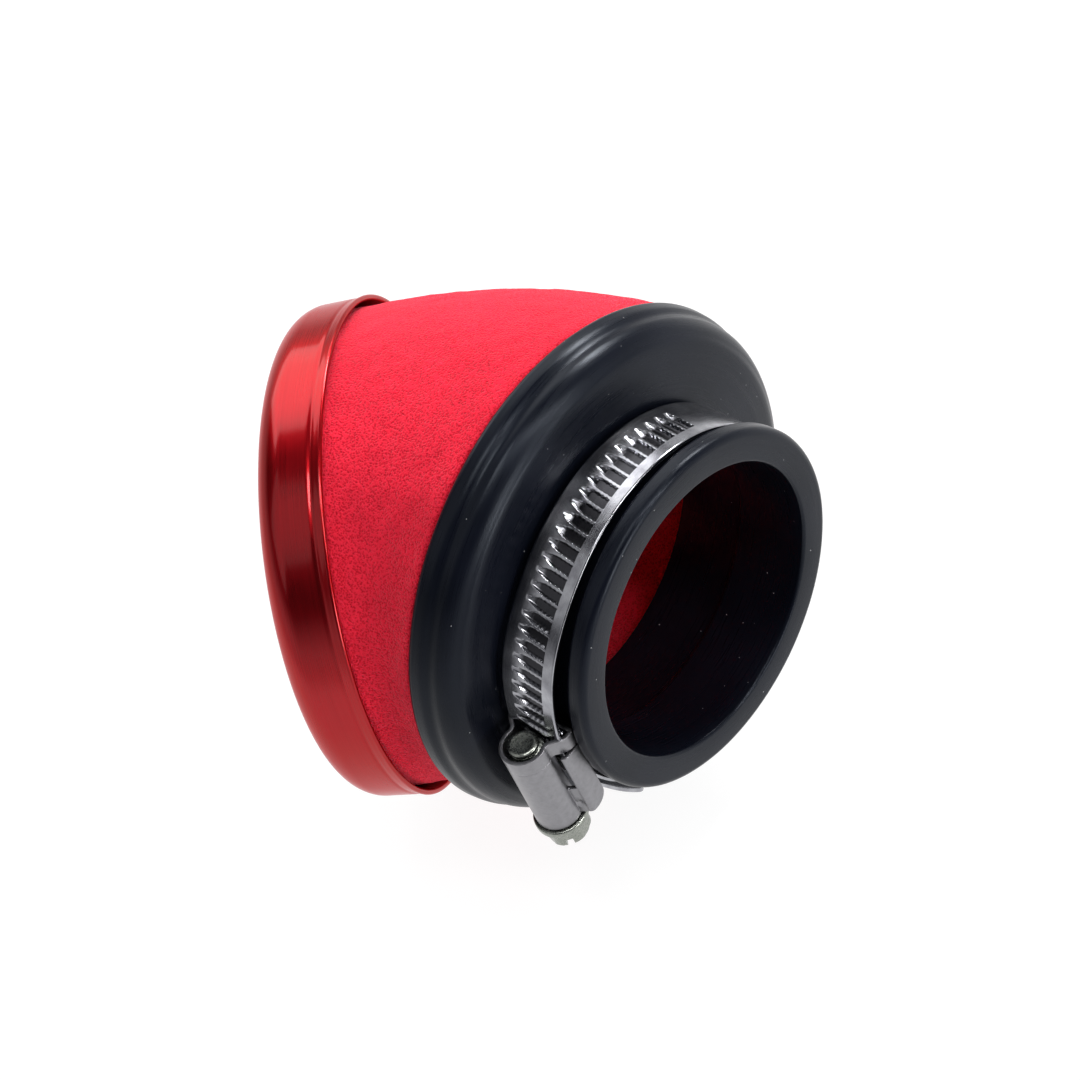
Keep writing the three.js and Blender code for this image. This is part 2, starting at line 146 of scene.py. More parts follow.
floor_z = cad_low.z
floor_mesh = bpy.data.meshes.new("studio_floor")
floor_mesh.from_pydata(
    [(x, y, floor_z) for x, y in ((-FLOOR_HALF, -FLOOR_HALF), (FLOOR_HALF, -FLOOR_HALF),
                                  (FLOOR_HALF, FLOOR_HALF), (-FLOOR_HALF, FLOOR_HALF))],
    [], [(0, 1, 2, 3)])
floor = bpy.data.objects.new("studio_floor", floor_mesh)
bpy.context.scene.collection.objects.link(floor)

world = bpy.data.worlds.new("studio_air")
bpy.context.scene.world = world
world.use_nodes = True
air = world.node_tree
direction = air.nodes.new("ShaderNodeTexCoord")
split = air.nodes.new("ShaderNodeSeparateXYZ")
fade = air.nodes.new("ShaderNodeValToRGB")
air.links.new(direction.outputs["Generated"], split.inputs[0])
air.links.new(split.outputs["Z"], fade.inputs["Fac"])
air.links.new(fade.outputs["Color"], air.nodes["Background"].inputs["Color"])
for stop, height, colour in zip(fade.color_ramp.elements, HORIZON_FADE, (HORIZON_COLOUR, CEILING_COLOUR)):
    stop.position = height
    stop.color = (*colour, 1)
bpy.context.scene.view_settings.view_transform = "Standard"
print("floor at z", round(floor_z, 4))

# %% [markdown]
# Soft light comes from large area lamps. Each lamp is set by a direction as a photographer would
# say it from behind the camera: so much to the right, so much up and so much back towards the
# camera. The large one up and to the left models the foam, and the others draw long soft
# reflections on rubber and metal.

# %% Lights
filter_middle = (cad_low + cad_high) / 2


def softbox(name, right, up, back, distance, width, height, power):
    """A rectangular lamp aimed at the filter's middle, from a direction said from the camera."""
    direction = (CAMERA_RIGHT * right + CAMERA_UP * up + camera_back * back).normalized()
    data = bpy.data.lights.new(name, "AREA")
    data.shape = "RECTANGLE"
    data.size = width
    data.size_y = height
    data.energy = power
    lamp = bpy.data.objects.new(name, data)
    lamp.location = filter_middle + direction * distance
    lamp.rotation_mode = "QUATERNION"
    lamp.rotation_quaternion = direction.to_track_quat("Z", "Y")
    bpy.context.scene.collection.objects.link(lamp)


# Direction as right, up and back, then distance, width and height in metres, and power in watts.
SOFTBOXES = {
    "key_softbox": (-0.48, 0.85, -0.05, 0.8, 0.72, 0.65, 4.0),
    "front_softbox": (-0.3, 0.5, 0.95, 1.1, 0.3, 0.3, 3.0),
    "left_card": (-0.8, 0.1, 0.6, 0.9, 0.6, 0.6, 0.7),
    "right_strip": (0.5, 0.35, 0.75, 0.9, 0.05, 1.0, 4.4),
    "top_strip": (0.25, 0.95, 0.12, 0.8, 0.35, 0.12, 5.5),
    "mouth_softbox": (0.75, -0.3, 0.6, 0.9, 0.3, 0.3, 3.0),
}
for name, setting in SOFTBOXES.items():
    softbox(name, *setting)
print("lamps:", [light.name for light in bpy.data.lights])

# %% [markdown]
# Most of these pieces are turned or rolled, so their surface is a grid: an outline in one
# direction and a travel in the other. One function makes a mesh from such a grid. It also stores
# on every point how far it is along the piece, under the name "lay", because brushed metal and
# moulded rubber have a grain that follows the piece and not the room.

# %% A mesh from a grid of points
def grid_faces(rows, columns, wrap_rows):
    """Four-cornered faces that join neighbours of a grid. Its columns go round and meet, and its
    rows do so where asked."""
    index = np.arange(rows * columns).reshape(rows, columns)
    if wrap_rows:
        index = np.vstack([index, index[:1]])
    index = np.hstack([index, index[:, :1]])
    corners = (index[:-1, :-1], index[:-1, 1:], index[1:, 1:], index[1:, :-1])
    return np.stack([corner.ravel() for corner in corners], axis=1)


def piece_from_grid(name, points, lay, place, wrap_rows=True, sharp_over=32):
    """A mesh object from points[row, column] in millimetres, closed at its open ends."""
    rows, columns = points.shape[:2]
    mesh = bpy.data.meshes.new(name)
    faces = grid_faces(rows, columns, wrap_rows)
    mesh.from_pydata((points.reshape(-1, 3) * MM).tolist(), [], faces.tolist())
    along = mesh.attributes.new("lay", "FLOAT_VECTOR", "POINT")
    along.data.foreach_set("vector", lay.reshape(-1).astype(np.float32))
    tidy = bmesh.new()
    tidy.from_mesh(mesh)
    bmesh.ops.remove_doubles(tidy, verts=tidy.verts, dist=2e-6)
    rim = [edge for edge in tidy.edges if edge.is_boundary]
    if rim:
        bmesh.ops.holes_fill(tidy, edges=rim, sides=0)
    bmesh.ops.recalc_face_normals(tidy, faces=tidy.faces)
    tidy.to_mesh(mesh)
    tidy.free()
    mesh.transform(place)
    mesh.shade_smooth()
    mesh.set_sharp_from_angle(angle=math.radians(sharp_over))
    piece = bpy.data.objects.new(name, mesh)
    bpy.context.scene.collection.objects.link(piece)
    print(f"{name}: {len(mesh.vertices)} points, {len(mesh.polygons)} faces")
    return piece


def arc(centre, radius, start, end, steps):
    """Points of a round corner, with its angles in degrees."""
    angles = np.radians(np.linspace(start, end, steps + 1))
    return np.stack([centre[0] + radius * np.cos(angles), centre[1] + radius * np.sin(angles)], axis=1)


def flowing(points, steps):
    """A smooth line through points (Catmull-Rom), with `steps` points between two of them."""
    points = np.array(points, float)
    padded = np.vstack([2 * points[0] - points[1], points, 2 * points[-1] - points[-2]])
    t = np.linspace(0, 1, steps, endpoint=False)[:, None]
    line = []
    for a, b, c, d in zip(padded, padded[1:], padded[2:], padded[3:]):
        line.append(0.5 * (2 * b + (c - a) * t + (2 * a - 5 * b + 4 * c - d) * t ** 2
                           + (3 * b - a - 3 * c + d) * t ** 3))
    return np.vstack(line + [points[-1:]])


def joined(*stretches):
    """One outline from several stretches, without the points that repeat."""
    points = np.vstack([np.array(stretch, float).reshape(-1, 2) for stretch in stretches])
    keep = np.append(True, np.linalg.norm(np.diff(points, axis=0), axis=1) > 1e-4)
    return points[keep]


def turned_piece(name, outline, place, steps, closed, wobble=None):
    """Spins an outline of (radius, depth) round the depth axis. wobble moves the points a little."""
    angles = np.linspace(0, 2 * math.pi, steps, endpoint=False)
    travelled = np.append(0, np.cumsum(np.linalg.norm(np.diff(outline, axis=0), axis=1)))
    radius = outline[:, :1] * np.ones((1, steps))
    depth = outline[:, 1:] * np.ones((1, steps))
    points = np.stack([radius * np.cos(angles), radius * np.sin(angles), depth], axis=2)
    if wobble:
        points = wobble(points)
    lay = np.stack([np.cos(angles) + 0 * radius, np.sin(angles) + 0 * radius,
                    travelled[:, None] + 0 * radius], axis=2)
    return piece_from_grid(name, points, lay, place, wrap_rows=closed)


# %% [markdown]
# A material is built from nodes. A few short helpers keep each recipe readable: one makes the
# material, one adds a node, one lays a noise pattern and one turns a pattern into bumps. Numbers
# that are the same all over a surface go straight on the shader's own sockets.

# %% Helpers for materials
def new_material(name, **constants):
    """A material with its main shader's sockets set to these constants."""
    material = bpy.data.materials.new(name)
    material.use_nodes = True
    shader = material.node_tree.nodes["Principled BSDF"]
    for socket, value in constants.items():
        shader.inputs[socket.replace("_", " ")].default_value = value
    return material, material.node_tree, shader


def add(tree, kind, inputs=None, **settings):
    """Adds a shader node. An input is a number, a colour or another node's output."""
    node = tree.nodes.new("ShaderNode" + kind)
    for setting, value in settings.items():
        setattr(node, setting, value)
    for key, value in (inputs or {}).items():
        if isinstance(value, bpy.types.NodeSocket):
            tree.links.new(value, node.inputs[key])
        else:
            node.inputs[key].default_value = value
    return node


def place_of(tree):
    """The surface point's own place in millimetres."""
    coordinates = add(tree, "TexCoord").outputs["Object"]
    return add(tree, "Mapping", {"Vector": coordinates, "Scale": (1 / MM,) * 3}).outputs["Vector"]


def grain_of(tree, round_scale, along_scale):
    """The stored lay, drawn out round the piece so that a pattern becomes fine parallel lines."""
    lay = add(tree, "Attribute", attribute_name="lay").outputs["Vector"]
    scale = (round_scale, round_scale, along_scale)
    return add(tree, "Mapping", {"Vector": lay, "Scale": scale}).outputs["Vector"]


def noise_of(tree, vector, scale, detail=2.0, roughness=0.5):
    """A cloudy pattern from 0 to 1."""
    inputs = {"Vector": vector, "Scale": scale, "Detail": detail, "Roughness": roughness}
    return add(tree, "TexNoise", inputs).outputs["Fac"]


def spread(tree, value, low, high, to_low, to_high):
    """Stretches the part of a pattern between low and high to a new range."""
    inputs = {"Value": value, "From Min": low, "From Max": high, "To Min": to_low, "To Max": to_high}
    return add(tree, "MapRange", inputs).outputs["Result"]


def colours(tree, value, stops):
    """A pattern coloured by a ramp of (position, colour) stops."""
    ramp = add(tree, "ValToRGB", {"Fac": value})
    for _ in range(len(stops) - 2):
        ramp.color_ramp.elements.new(0.5)
    for element, (position, colour) in zip(ramp.color_ramp.elements, stops):
        element.position = position
        element.color = (*colour, 1)
    return ramp.outputs["Color"]


def bumps(tree, height, depth_mm, normal=None):
    """Turns a pattern into small relief, depth_mm from its lowest to its highest."""
    inputs = {"Height": height, "Strength": 1.0, "Distance": depth_mm * MM}
    if normal:
        inputs["Normal"] = normal
    return add(tree, "Bump", inputs).outputs["Normal"]


def connect(tree, output, shader, socket):
    tree.links.new(output, shader.inputs[socket])


def paint(piece, material):
    piece.data.materials.clear()
    piece.data.materials.append(material)


# %% [markdown]
# The end cap is a shallow pressed aluminium cup. It is spun from one outline that goes from the
# middle of the face, round the pressed corner and down the wall to a small rolled lip, and then
# back along the inside. A turned outline gives a true round corner, which a bevelled cylinder
# only imitates.

# %% End cap
CAP_RADIUS = 36.0
CAP_DEPTH = 10.8
CAP_SHEET = 0.8
CAP_CORNER = 4.6
CAP_TAPER = 0.35
LIP_FLARE = 0.3
LIP_HEIGHT = 1.5
BEAD_DEPTH = 0.11
BEAD_FROM_LIP = 0.25
BEAD_WIDTH = 0.3
CAP_STEPS = 288

# The cap's own frame: the depth axis runs from its rim, at zero, to its face.
along_cap = Vector(cap_axis)
rim_centre = Vector(cap_face) - along_cap * CAP_DEPTH
across_cap = Vector((0, 0, 1)).cross(along_cap)
cap_place = Matrix((across_cap, Vector((0, 0, 1)), along_cap)).transposed().to_4x4()
cap_place = Matrix.Translation(rim_centre * MM) @ cap_place


def cap_wall(depth):
    """Radius of the cap's outside: a slight taper, a bead pressed inwards and a flared lip."""
    taper = CAP_TAPER * min(1, depth / (CAP_DEPTH - CAP_CORNER))
    flare = LIP_FLARE * max(0, 1 - depth / LIP_HEIGHT) ** 1.5
    bead = BEAD_DEPTH * math.exp(-((depth - LIP_HEIGHT - BEAD_FROM_LIP) / BEAD_WIDTH) ** 2)
    return CAP_RADIUS - taper + flare - bead


def cap_outline():
    corner_depth = CAP_DEPTH - CAP_CORNER
    corner_radius = cap_wall(corner_depth) - CAP_CORNER
    half_sheet = CAP_SHEET / 2
    wall = [(cap_wall(depth), depth) for depth in np.linspace(corner_depth, half_sheet, 36)]
    face = [(share * corner_radius, CAP_DEPTH) for share in (0, 0.25, 0.5, 0.75, 0.9)]
    inside = [(cap_wall(depth) - CAP_SHEET, depth) for depth in np.linspace(half_sheet, corner_depth, 8)]
    return joined(
        face,
        arc((corner_radius, corner_depth), CAP_CORNER, 90, 0, 20),
        wall,
        arc((cap_wall(half_sheet) - half_sheet, half_sheet), half_sheet, 0, -180, 8),
        inside,
        arc((corner_radius, corner_depth), CAP_CORNER - CAP_SHEET, 0, 90, 10),
        [(0, CAP_DEPTH - CAP_SHEET)])


cap_shell = turned_piece("cap_shell", cap_outline(), cap_place, CAP_STEPS, closed=False)
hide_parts("end_cap")
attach(cap_shell, "filter")

# %% [markdown]
# Anodising grows a clear, dyed skin on aluminium, so the metal still shines but every reflection
# is red. The cap was brushed while it turned, which leaves fine lines round it. The lines come
# from noise that is drawn out round the piece. They move the colour, the roughness and the relief.

# %% Red anodised aluminium
ANODISED = (0.4, 0.005, 0.01)
ANODISED_DARK = (0.3, 0.003, 0.006)

red_metal, tree, shader = new_material(
    "red_anodised", Metallic=1.0, Coat_Weight=0.5, Coat_Roughness=0.12, Coat_IOR=1.5,
    Specular_Tint=(0.9, 0.16, 0.18, 1))
lines = noise_of(tree, grain_of(tree, 1.2, 14.0), 1.0, detail=4.0, roughness=0.6)
clouds = noise_of(tree, place_of(tree), 0.14, detail=3.0)
tint = colours(tree, spread(tree, lines, 0.3, 0.7, 0.0, 1.0), [(0, ANODISED_DARK), (1, ANODISED)])
connect(tree, tint, shader, "Base Color")
satin = spread(tree, lines, 0.25, 0.75, 0.25, 0.35)
uneven = spread(tree, clouds, 0.3, 0.7, -0.03, 0.04)
connect(tree, add(tree, "Math", {0: satin, 1: uneven}, operation="ADD").outputs[0], shader, "Roughness")
connect(tree, bumps(tree, lines, 0.006), shader, "Normal")
paint(cap_shell, red_metal)

# %% [markdown]
# The foam sleeve is a thick tube of open-cell foam, cut straight at the boot and slanted at the
# cap, so that the filter bends. Every cross-section is a circle in a plane through one pivot
# line. The soft skin is not perfectly even: noise moves its points in and out by a tenth of a
# millimetre or two, and the cut edges are rounded as soft foam rounds itself.

# %% Foam sleeve
FOAM_WALL = 9.0
FOAM_CLEARANCE = 0.35
SEAM_GAP = 0.12
BOND_GAP = 1.4
BOND_INSET = 1.2
COLLAR_STEP = 0.9
CAP_BOND = 1.4
FOAM_EDGE = 0.7
FOAM_COLUMNS = 420
FOAM_ROWS = 96
SKIN_SWELL = 0.16
SKIN_COARSE = 0.35
SKIN_FINE = 1.3
FINE_SHARE = 0.45
BOND_ROOM = 0.3
SEAM_FLARE = 1.5
END_ROUND = 1.6
LAY_LENGTH = 25

foam_radius = CAP_RADIUS - CAP_TAPER - CAP_SHEET - FOAM_CLEARANCE
foam_inner = foam_radius - FOAM_WALL
seam_radius = collar_radius - COLLAR_STEP
foam_front = boot_back + BOND_GAP
insert_depth = CAP_DEPTH - CAP_SHEET - CAP_BOND

rim_back = -rim_centre.x
rim_side = -rim_centre.y
pivot_y = -rim_side - (rim_back - foam_front) / math.tan(elbow_angle)
seam_reach = -pivot_y
rim_reach = (rim_back - foam_front) / math.sin(elbow_angle)


def foam_point(share, insert, radius, angle):
    """A point of the sleeve: share 0 at the seam to 1 at the cap's rim, then insert into the cap."""
    turn = elbow_angle * share
    reach = seam_reach + (rim_reach - seam_reach) * share
    out_x, out_y = -math.sin(turn), math.cos(turn)
    reach = reach + radius * math.cos(angle)
    x = -foam_front + out_x * reach - math.cos(turn) * insert
    y = pivot_y + out_y * reach - math.sin(turn) * insert
    return x, y, radius * math.sin(angle)


def foam_outside(share):
    return foam_radius + (seam_radius - foam_radius) * (1 - share) ** SEAM_FLARE


def foam_outline():
    """(share, insert, radius) round the sleeve's wall: out, into the cap, and back inside."""
    lip = BOND_GAP - SEAM_GAP
    bond_outer = foam_radius - BOND_INSET + BOND_ROOM
    bond_inner = foam_inner + BOND_INSET - BOND_ROOM
    rounds = np.radians(np.linspace(90, 0, 7))
    outline = [(0, -lip, bond_outer), (0, -lip, bond_outer + 1.2)]
    outline += [(0, -lip + FOAM_EDGE * (1 - math.sin(a)), seam_radius - FOAM_EDGE * (1 - math.cos(a)))
                for a in rounds]
    outline += [(share, 0, foam_outside(share)) for share in np.linspace(0.01, 1, FOAM_ROWS)]
    outline += [(1, insert, foam_radius) for insert in np.linspace(0.6, insert_depth - 2.5, 12)]
    outline += [(1, insert_depth - 1, foam_radius - 0.5), (1, insert_depth, foam_radius - END_ROUND)]
    outline += [(1, insert_depth, foam_inner)]
    outline += [(1, insert, foam_inner) for insert in np.linspace(insert_depth - 1, 0.5, 5)]
    outline += [(share, 0, foam_inner) for share in np.linspace(1, 0, 40)]
    outline += [(0, -lip, foam_inner), (0, -lip, bond_inner), (0, 0, bond_inner), (0, 0, bond_outer)]
    return outline


def soft_skin(points):
    """Moves each point away from the neck's axis or towards it, by two sizes of noise."""
    moved = points.copy()
    for place, row in zip(moved.reshape(-1, 3), points.reshape(-1, 3)):
        spot = Vector(row)
        swell = noise.noise(spot * SKIN_COARSE) * SKIN_SWELL
        swell += noise.noise(spot * SKIN_FINE) * SKIN_SWELL * FINE_SHARE
        outward = Vector((0, row[1], row[2])).normalized()
        place += np.array(outward) * swell
    return moved


def foam_sleeve():
    angles = np.linspace(0, 2 * math.pi, FOAM_COLUMNS, endpoint=False)
    outline = foam_outline()
    points = np.array([[foam_point(*station, angle) for angle in angles] for station in outline])
    travelled = np.array([station[0] * LAY_LENGTH + station[1] for station in outline])[:, None]
    lay = np.stack([np.cos(angles) + 0 * travelled, np.sin(angles) + 0 * travelled,
                    travelled + 0 * angles], axis=2)
    return piece_from_grid("foam_sleeve", soft_skin(points), lay, Matrix.Identity(4), sharp_over=60)


sleeve = foam_sleeve()
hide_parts("foam_element")
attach(sleeve, "filter")

# %% [markdown]
# Open-cell foam is a net of tiny bubbles about a third of a millimetre across. Its look is matt.
# A Voronoi pattern gives the cells and a fine noise breaks them up. The colour follows the same
# height as the relief: the pores are painted dark as shade and the raised threads lighter. Light
# passes a little way through the wall, so the shader scatters red light under the skin, and a
# soft sheen stands for the fine hairs at the cut surface.

# %% Open-cell foam
FOAM_BRIGHT = (0.88, 0.024, 0.055)
FOAM_MIDDLE = (0.68, 0.009, 0.028)
# Painted shade: the colour given to the pores, the lowest part of the relief.
FOAM_PORE_SHADE = (0.46, 0.004, 0.014)

foam_finish, tree, shader = new_material(
    "red_open_cell_foam", Roughness=1.0, Specular_IOR_Level=0.1, Subsurface_Weight=0.15,
    Subsurface_Radius=(1.0, 0.08, 0.06), Subsurface_Scale=0.003, Sheen_Weight=0.4,
    Sheen_Roughness=0.35, Sheen_Tint=(1.0, 0.35, 0.4, 1))
spot = place_of(tree)
cells = add(tree, "TexVoronoi", {"Vector": spot, "Scale": 2.9, "Randomness": 1.0}).outputs["Distance"]
crumbs = noise_of(tree, spot, 3.8, detail=3.0, roughness=0.65)
patches = noise_of(tree, spot, 0.12, detail=2.0)
weave = add(tree, "Math", {0: spread(tree, cells, 0.0, 0.75, 0.0, 0.55), 1: crumbs}, operation="ADD")
height = spread(tree, weave.outputs[0], 0.35, 1.05, 0.0, 1.0)
# Painted shade: the ramp darkens the pores and lightens the raised threads by their height.
pore_shading = colours(tree, height, [(0.12, FOAM_PORE_SHADE), (0.5, FOAM_MIDDLE), (0.85, FOAM_BRIGHT)])
shade = spread(tree, patches, 0.3, 0.7, 0.92, 1.05)
tinted = add(tree, "MixRGB", {"Fac": 1.0, "Color1": pore_shading, "Color2": shade}, blend_type="MULTIPLY")
connect(tree, tinted.outputs[0], shader, "Base Color")
connect(tree, bumps(tree, height, 0.2), shader, "Normal")
paint(sleeve, foam_finish)

# %% [markdown]
# The rubber boot is one thick moulding: a collar a little wider than the foam, a slight waist, a big
# rounded shoulder, a groove for the clamp, and a lip that stops the clamp from slipping off. Its
# outline is closed, so one spin makes the outside, the mouth and the bore. Real rubber is never
# perfectly round, so a slow noise moves it by a few hundredths of a millimetre.

# %% Rubber boot
BORE_RADIUS = 22.0
NECK_RADIUS = 27.0
LIP_LENGTH = 3.2
LIP_ROUND = 1.1
MOUTH_CHAMFER = 0.5
GROOVE_DEPTH = 2.2
GROOVE_WIDTH = 11.0
GROOVE_FILLET = 0.8
BORE_STEP = 0.8
BORE_STEP_BACK = 11.5
COLLAR_ROUND = 1.0
WAIST_DEPTH = 0.85
SHOULDER_FALL = 2.9
FACE_SLOPE = 0.3
COLLAR_EASE = 0.15
COLLAR_LENGTH = 2.4
WAIST_START = 3.6
WAIST_END = 5.0
LIP_INNER_ROUND = LIP_ROUND * 0.7
STEP_RAMP = 1.0
WAVE_FREQUENCY = 0.09
WAVE_DEPTH = 0.05
BOOT_STEPS = 320

groove_radius = NECK_RADIUS - GROOVE_DEPTH
groove_back = LIP_LENGTH + GROOVE_WIDTH
rear_bore = BORE_RADIUS + BORE_STEP
waist_radius = collar_radius - WAIST_DEPTH


def boot_outline():
    """(radius, distance behind the mouth) all round the moulding's wall."""
    collar_corner = (collar_radius - COLLAR_ROUND, boot_back - COLLAR_ROUND)
    face = groove_back + FACE_SLOPE
    shoulder = flowing([
        (collar_radius, boot_back - COLLAR_ROUND),
        (collar_radius - COLLAR_EASE, boot_back - COLLAR_LENGTH),
        (waist_radius + COLLAR_EASE, boot_back - WAIST_START),
        (waist_radius, boot_back - WAIST_END),
        (waist_radius - SHOULDER_FALL * 0.25, face + 1.9),
        (waist_radius - SHOULDER_FALL * 0.62, face + 1.05),
        (waist_radius - SHOULDER_FALL, face + 0.5),
        (waist_radius - SHOULDER_FALL * 2, face)], 7)
    return joined(
        [(rear_bore, boot_back), (rear_bore + 6, boot_back), (rear_bore + 11, boot_back)],
        arc(collar_corner, COLLAR_ROUND, 90, 0, 8),
        shoulder,
        [(groove_radius + GROOVE_FILLET, groove_back)],
        arc((groove_radius + GROOVE_FILLET, groove_back - GROOVE_FILLET), GROOVE_FILLET, 90, 180, 6),
        [(groove_radius, groove_back - 5), (groove_radius, LIP_LENGTH + GROOVE_FILLET)],
        arc((groove_radius + GROOVE_FILLET, LIP_LENGTH + GROOVE_FILLET), GROOVE_FILLET, 180, 270, 6),
        arc((NECK_RADIUS - LIP_INNER_ROUND, LIP_LENGTH - LIP_INNER_ROUND), LIP_INNER_ROUND, 90, 0, 6),
        arc((NECK_RADIUS - LIP_ROUND, LIP_ROUND), LIP_ROUND, 0, -90, 8),
        [(24.5, 0)],
        arc((BORE_RADIUS + MOUTH_CHAMFER, MOUTH_CHAMFER), MOUTH_CHAMFER, 270, 180, 5),
        [(BORE_RADIUS, depth) for depth in np.linspace(2, BORE_STEP_BACK, 6)],
        flowing([(BORE_RADIUS, BORE_STEP_BACK), (BORE_RADIUS + BORE_STEP / 2, BORE_STEP_BACK + 0.45),
                 (rear_bore, BORE_STEP_BACK + STEP_RAMP)], 5),
        [(rear_bore, depth) for depth in np.linspace(BORE_STEP_BACK + 2, boot_back - 1, 5)])


def moulded(points):
    """A few hundredths of a millimetre of waviness, as a moulding has."""
    moved = points.copy()
    for place, row in zip(moved.reshape(-1, 3), points.reshape(-1, 3)):
        spot = Vector(row)
        place += np.array(noise.noise_vector(spot * WAVE_FREQUENCY)) * WAVE_DEPTH
    return moved


# The boot's depth axis points back along -X, from the mouth to the seam.
boot_place = Matrix((Vector((0, 1, 0)), Vector((0, 0, -1)), Vector((-1, 0, 0)))).transposed().to_4x4()
boot = turned_piece(
    "boot_moulding", boot_outline(), boot_place, BOOT_STEPS, closed=True, wobble=moulded)
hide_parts("rubber_boot")
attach(boot, "filter")

# %% [markdown]
# Moulded black rubber is a very dark blue-grey with a satin skin. Handling and the mould's own
# turning marks leave fine streaks round it, and it catches white dust. The streaks come from
# drawn-out noise in the roughness and the relief, and the dust from a Voronoi pattern of which
# only the very middle of a few cells is kept.

# %% Black rubber
RUBBER_DARK = (0.002, 0.0027, 0.0055)
RUBBER_LIGHT = (0.004, 0.005, 0.0095)
DUST = (0.42, 0.42, 0.43)

rubber, tree, shader = new_material(
    "black_rubber", Specular_IOR_Level=0.18, Specular_Tint=(0.8, 0.88, 1.0, 1))
spot = place_of(tree)
streaks = noise_of(tree, grain_of(tree, 2.4, 2.8), 1.0, detail=5.0, roughness=0.7)
fine = noise_of(tree, spot, 3.0, detail=3.0, roughness=0.6)
bloom = noise_of(tree, spot, 0.09, detail=3.0)
base = colours(tree, spread(tree, bloom, 0.3, 0.7, 0.0, 1.0), [(0, RUBBER_DARK), (1, RUBBER_LIGHT)])
specks = add(tree, "TexVoronoi", {"Vector": spot, "Scale": 0.62, "Randomness": 1.0})
chosen = spread(tree, specks.outputs["Color"], 0.54, 0.56, 0.0, 1.0)
dots = spread(tree, specks.outputs["Distance"], 0.03, 0.055, 1.0, 0.0)
dust = add(tree, "Math", {0: dots, 1: chosen}, operation="MULTIPLY").outputs[0]
dusty = add(tree, "MixRGB", {"Fac": dust, "Color1": base, "Color2": (*DUST, 1)})
connect(tree, dusty.outputs[0], shader, "Base Color")
satin = spread(tree, streaks, 0.3, 0.7, 0.22, 0.4)
connect(tree, satin, shader, "Roughness")
relief = bumps(tree, streaks, 0.01)
connect(tree, bumps(tree, fine, 0.012, relief), shader, "Normal")
paint(boot, rubber)

# %% [markdown]
# Two rings of cured adhesive hold the sleeve in the boot and in the cap. They are hidden in the
# finished filter, so the working model's own rings stay, with a cloudy amber finish of their own.

# %% Adhesive rings
glue, tree, shader = new_material("amber_adhesive", Roughness=0.42, Specular_IOR_Level=0.4)
clouds = noise_of(tree, place_of(tree), 0.5, detail=4.0)
amber = colours(tree, clouds, [(0.3, (0.33, 0.2, 0.06)), (0.7, (0.55, 0.4, 0.17))])
connect(tree, amber, shader, "Base Color")
connect(tree, bumps(tree, clouds, 0.1), shader, "Normal")
for ring in ("boot_bond", "cap_bond"):
    paint(frame["nodes"][ring], glue)
print("adhesive on boot_bond and cap_bond")

# %% [markdown]
# The clamp's band is a stainless strip rolled into a loop. Its anchored end lies under the worm,
# and the strip goes once round and passes over it again. In the clamp's own frame, u runs along
# the neck, v out through the worm and w along the screw to its head, and angles start at the
# worm. The strip's cross-section has rounded edges, and it is carried round the loop step by
# step. Where the thread is pressed in, the steps are fine enough to shape every pocket.

# %% Clamp band
BAND_THICKNESS = 0.65
BAND_INNER = 26.2
LAP_GAP = 0.35
ANCHOR_ANGLE = -10
TAIL_ANGLE = 410
LAP_RAMP = (300, 336)
TAIL_LIFT_START = 387
TAIL_LIFT = 1.6
EDGE_ROUND = 0.22

THREAD_PITCH = 2.16
WORM_RADIUS = 2.75
ENGAGEMENT = 0.3
POCKET_COUNT = 34
POCKET_END_ANGLE = 24
POCKET_HALF_SPAN = 2.6
POCKET_DEPTH = 0.46
POCKET_LEAD = 0.25
POCKET_TIP_HALF = 0.3
POCKET_FLARE = 0.48
POCKET_FLARE_END = 0.5
POCKET_BOOT_RAMP = 1.7
TIP_NARROWING = 0.28
TIP_ANGLE = 4
LAY_PER_DEGREE = 0.47

tail_inner = BAND_INNER + BAND_THICKNESS + LAP_GAP
tail_outer = tail_inner + BAND_THICKNESS
pitch_angle = math.degrees(THREAD_PITCH / (tail_outer - ENGAGEMENT / 2))
helix_slope = THREAD_PITCH / (2 * math.pi * (WORM_RADIUS - ENGAGEMENT / 2))
last_pocket = math.floor((TAIL_ANGLE - 360 - POCKET_END_ANGLE) / pitch_angle)

# u is the row's X, v its -Y and w its -Z.
clamp_turn = Matrix((Vector((1, 0, 0)), Vector((0, -1, 0)), Vector((0, 0, -1)))).transposed().to_4x4()
clamp_place = Matrix.Translation(Vector(clamp_centre) * MM) @ clamp_turn


def smooth_step(value, low, high):
    share = np.clip((value - low) / (high - low), 0, 1)
    return share * share * (3 - 2 * share)


def band_radius(degrees):
    """Inner radius of the strip: it climbs over its own end, and its tail springs away."""
    ramp = smooth_step(degrees, *LAP_RAMP)
    tail = np.clip((degrees - TAIL_LIFT_START) / (TAIL_ANGLE - TAIL_LIFT_START), 0, None)
    return BAND_INNER + ramp * (tail_inner - BAND_INNER) + TAIL_LIFT * tail ** 1.5


